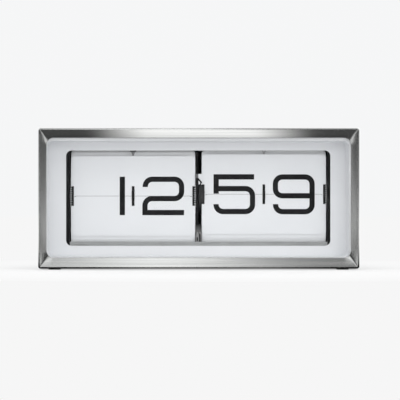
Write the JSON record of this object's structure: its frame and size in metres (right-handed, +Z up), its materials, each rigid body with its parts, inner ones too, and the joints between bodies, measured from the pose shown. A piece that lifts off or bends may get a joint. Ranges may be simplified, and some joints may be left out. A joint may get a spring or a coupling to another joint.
{
  "type": "flip clock",
  "caption": "Wide steel-cased flip clock with hour and minute split-leaf displays on one shaft, a quartz drive, setting wheel, battery bay and rear keyholes.",
  "frame": {"origin": "on the surface the feet stand on, under the middle of the case", "axes": "+X to the viewer's right when facing the display, -Y out of the display, +Z up"},
  "size_m": [0.365, 0.132, 0.1613],
  "materials": {
    "black_plastic": "moulded black plastic, satin",
    "brushed_steel": "stainless sheet, brushed along its length",
    "clear_pane": "clear, polished",
    "white_plastic": "white, satin",
    "pale_rubber": "pale, matt",
    "plain_steel": "plain turned and stamped steel",
    "pale_metal": "pale grey sheet, dull",
    "brass": "cut brass",
    "leaf_white": "white leaf plastic, satin, with black printed figures",
    "grey_plastic": "moulded grey plastic",
    "cell_label": "plain dark printed sleeve"
  },
  "bodies": {
    "clock": {"battery_cell": "cell_label", "battery_contact": "plain_steel", "battery_holder": "black_plastic", "battery_spring": "plain_steel", "case_screw_left": "plain_steel", "case_screw_right": "plain_steel", "case_shell": "brushed_steel", "centre_bracket": "pale_metal", "centre_bush": "brass", "centre_plate": "black_plastic", "door_pin": "plain_steel", "fascia_tub": "white_plastic", "foot_1": "pale_rubber", "foot_2": "pale_rubber", "foot_3": "pale_rubber", "foot_4": "pale_rubber", "front_pane": "clear_pane", "gear_bridge": "black_plastic", "hour_catch": "plain_steel", "hour_leaf_pack": "leaf_white", "hour_lower_leaf": "leaf_white", "hour_next_leaf": "leaf_white", "leaf_guide": "pale_metal", "left_bush": "brass", "left_end_plate": "black_plastic", "lower_crossbar": "pale_metal", "minute_catch": "plain_steel", "minute_leaf_pack": "leaf_white", "minute_lower_leaf": "leaf_white", "minute_next_leaf": "leaf_white", "motor_can": "plain_steel", "motor_gearbox": "grey_plastic", "rear_cover": "black_plastic", "rear_screw_1": "plain_steel", "rear_screw_2": "plain_steel", "rear_screw_3": "plain_steel", "rear_screw_4": "plain_steel", "right_bush": "brass", "right_end_plate": "black_plastic", "set_axle": "plain_steel", "tie_rod_lower": "plain_steel", "tie_rod_upper": "plain_steel", "top_crossbar": "black_plastic", "transfer_axle": "plain_steel"},
    "minute_drum": {"drum_shaft": "plain_steel", "minute_hub": "black_plastic", "minute_wheel_left": "black_plastic", "minute_wheel_right": "black_plastic", "minute_gear": "brass", "shaft_pinion": "plain_steel"},
    "hour_drum": {"hour_hub": "black_plastic", "hour_wheel_left": "black_plastic", "hour_wheel_right": "black_plastic", "hour_gear": "brass"},
    "transfer_pair": {"transfer_gear": "brass"},
    "motor_drive": {"motor_pinion": "plain_steel"},
    "setting_wheel": {"set_wheel": "black_plastic"},
    "hour_leaf": {"hour_flip_leaf": "leaf_white"},
    "minute_leaf": {"minute_flip_leaf": "leaf_white"},
    "door": {"battery_door": "black_plastic"}
  },
  "joints": [
    {"name": "minute_turn", "type": "hinge", "parent": "clock", "child": "minute_drum", "pos_m": [0, 0.00898, 0.0852], "axis": [1, 0, 0], "continuous": true},
    {"name": "hour_turn", "type": "hinge", "parent": "clock", "child": "hour_drum", "pos_m": [0, 0.00898, 0.0852], "axis": [1, 0, 0], "continuous": true},
    {"name": "transfer_turn", "type": "hinge", "parent": "clock", "child": "transfer_pair", "pos_m": [-0.1552, 0.00898, 0.1062], "axis": [1, 0, 0], "continuous": true},
    {"name": "motor_turn", "type": "hinge", "parent": "clock", "child": "motor_drive", "pos_m": [0.1532, 0.00898, 0.06], "axis": [1, 0, 0], "continuous": true},
    {"name": "setting_turn", "type": "hinge", "parent": "clock", "child": "setting_wheel", "pos_m": [0.1532, 0.04468, 0.0852], "axis": [1, 0, 0], "continuous": true},
    {"name": "hour_leaf_fall", "type": "hinge", "parent": "clock", "child": "hour_leaf", "pos_m": [-0.0754, -0.01202, 0.0842], "axis": [1, 0, 0], "range_deg": [0, 180]},
    {"name": "minute_leaf_fall", "type": "hinge", "parent": "clock", "child": "minute_leaf", "pos_m": [0.0762, -0.01202, 0.0863], "axis": [1, 0, 0], "range_deg": [0, 180]},
    {"name": "door_swing", "type": "hinge", "parent": "clock", "child": "door", "pos_m": [-0.0758, 0.06172, 0.0069], "axis": [-1, 0, 0], "range_deg": [0, 88]}
  ],
  "couplings": [
    {"joint": "hour_turn", "follows": "minute_turn", "ratio": 0.083333},
    {"joint": "transfer_turn", "follows": "minute_turn", "ratio": -0.25},
    {"joint": "motor_turn", "follows": "minute_turn", "ratio": -5},
    {"joint": "setting_turn", "follows": "minute_turn", "ratio": -1.4286}
  ]
}
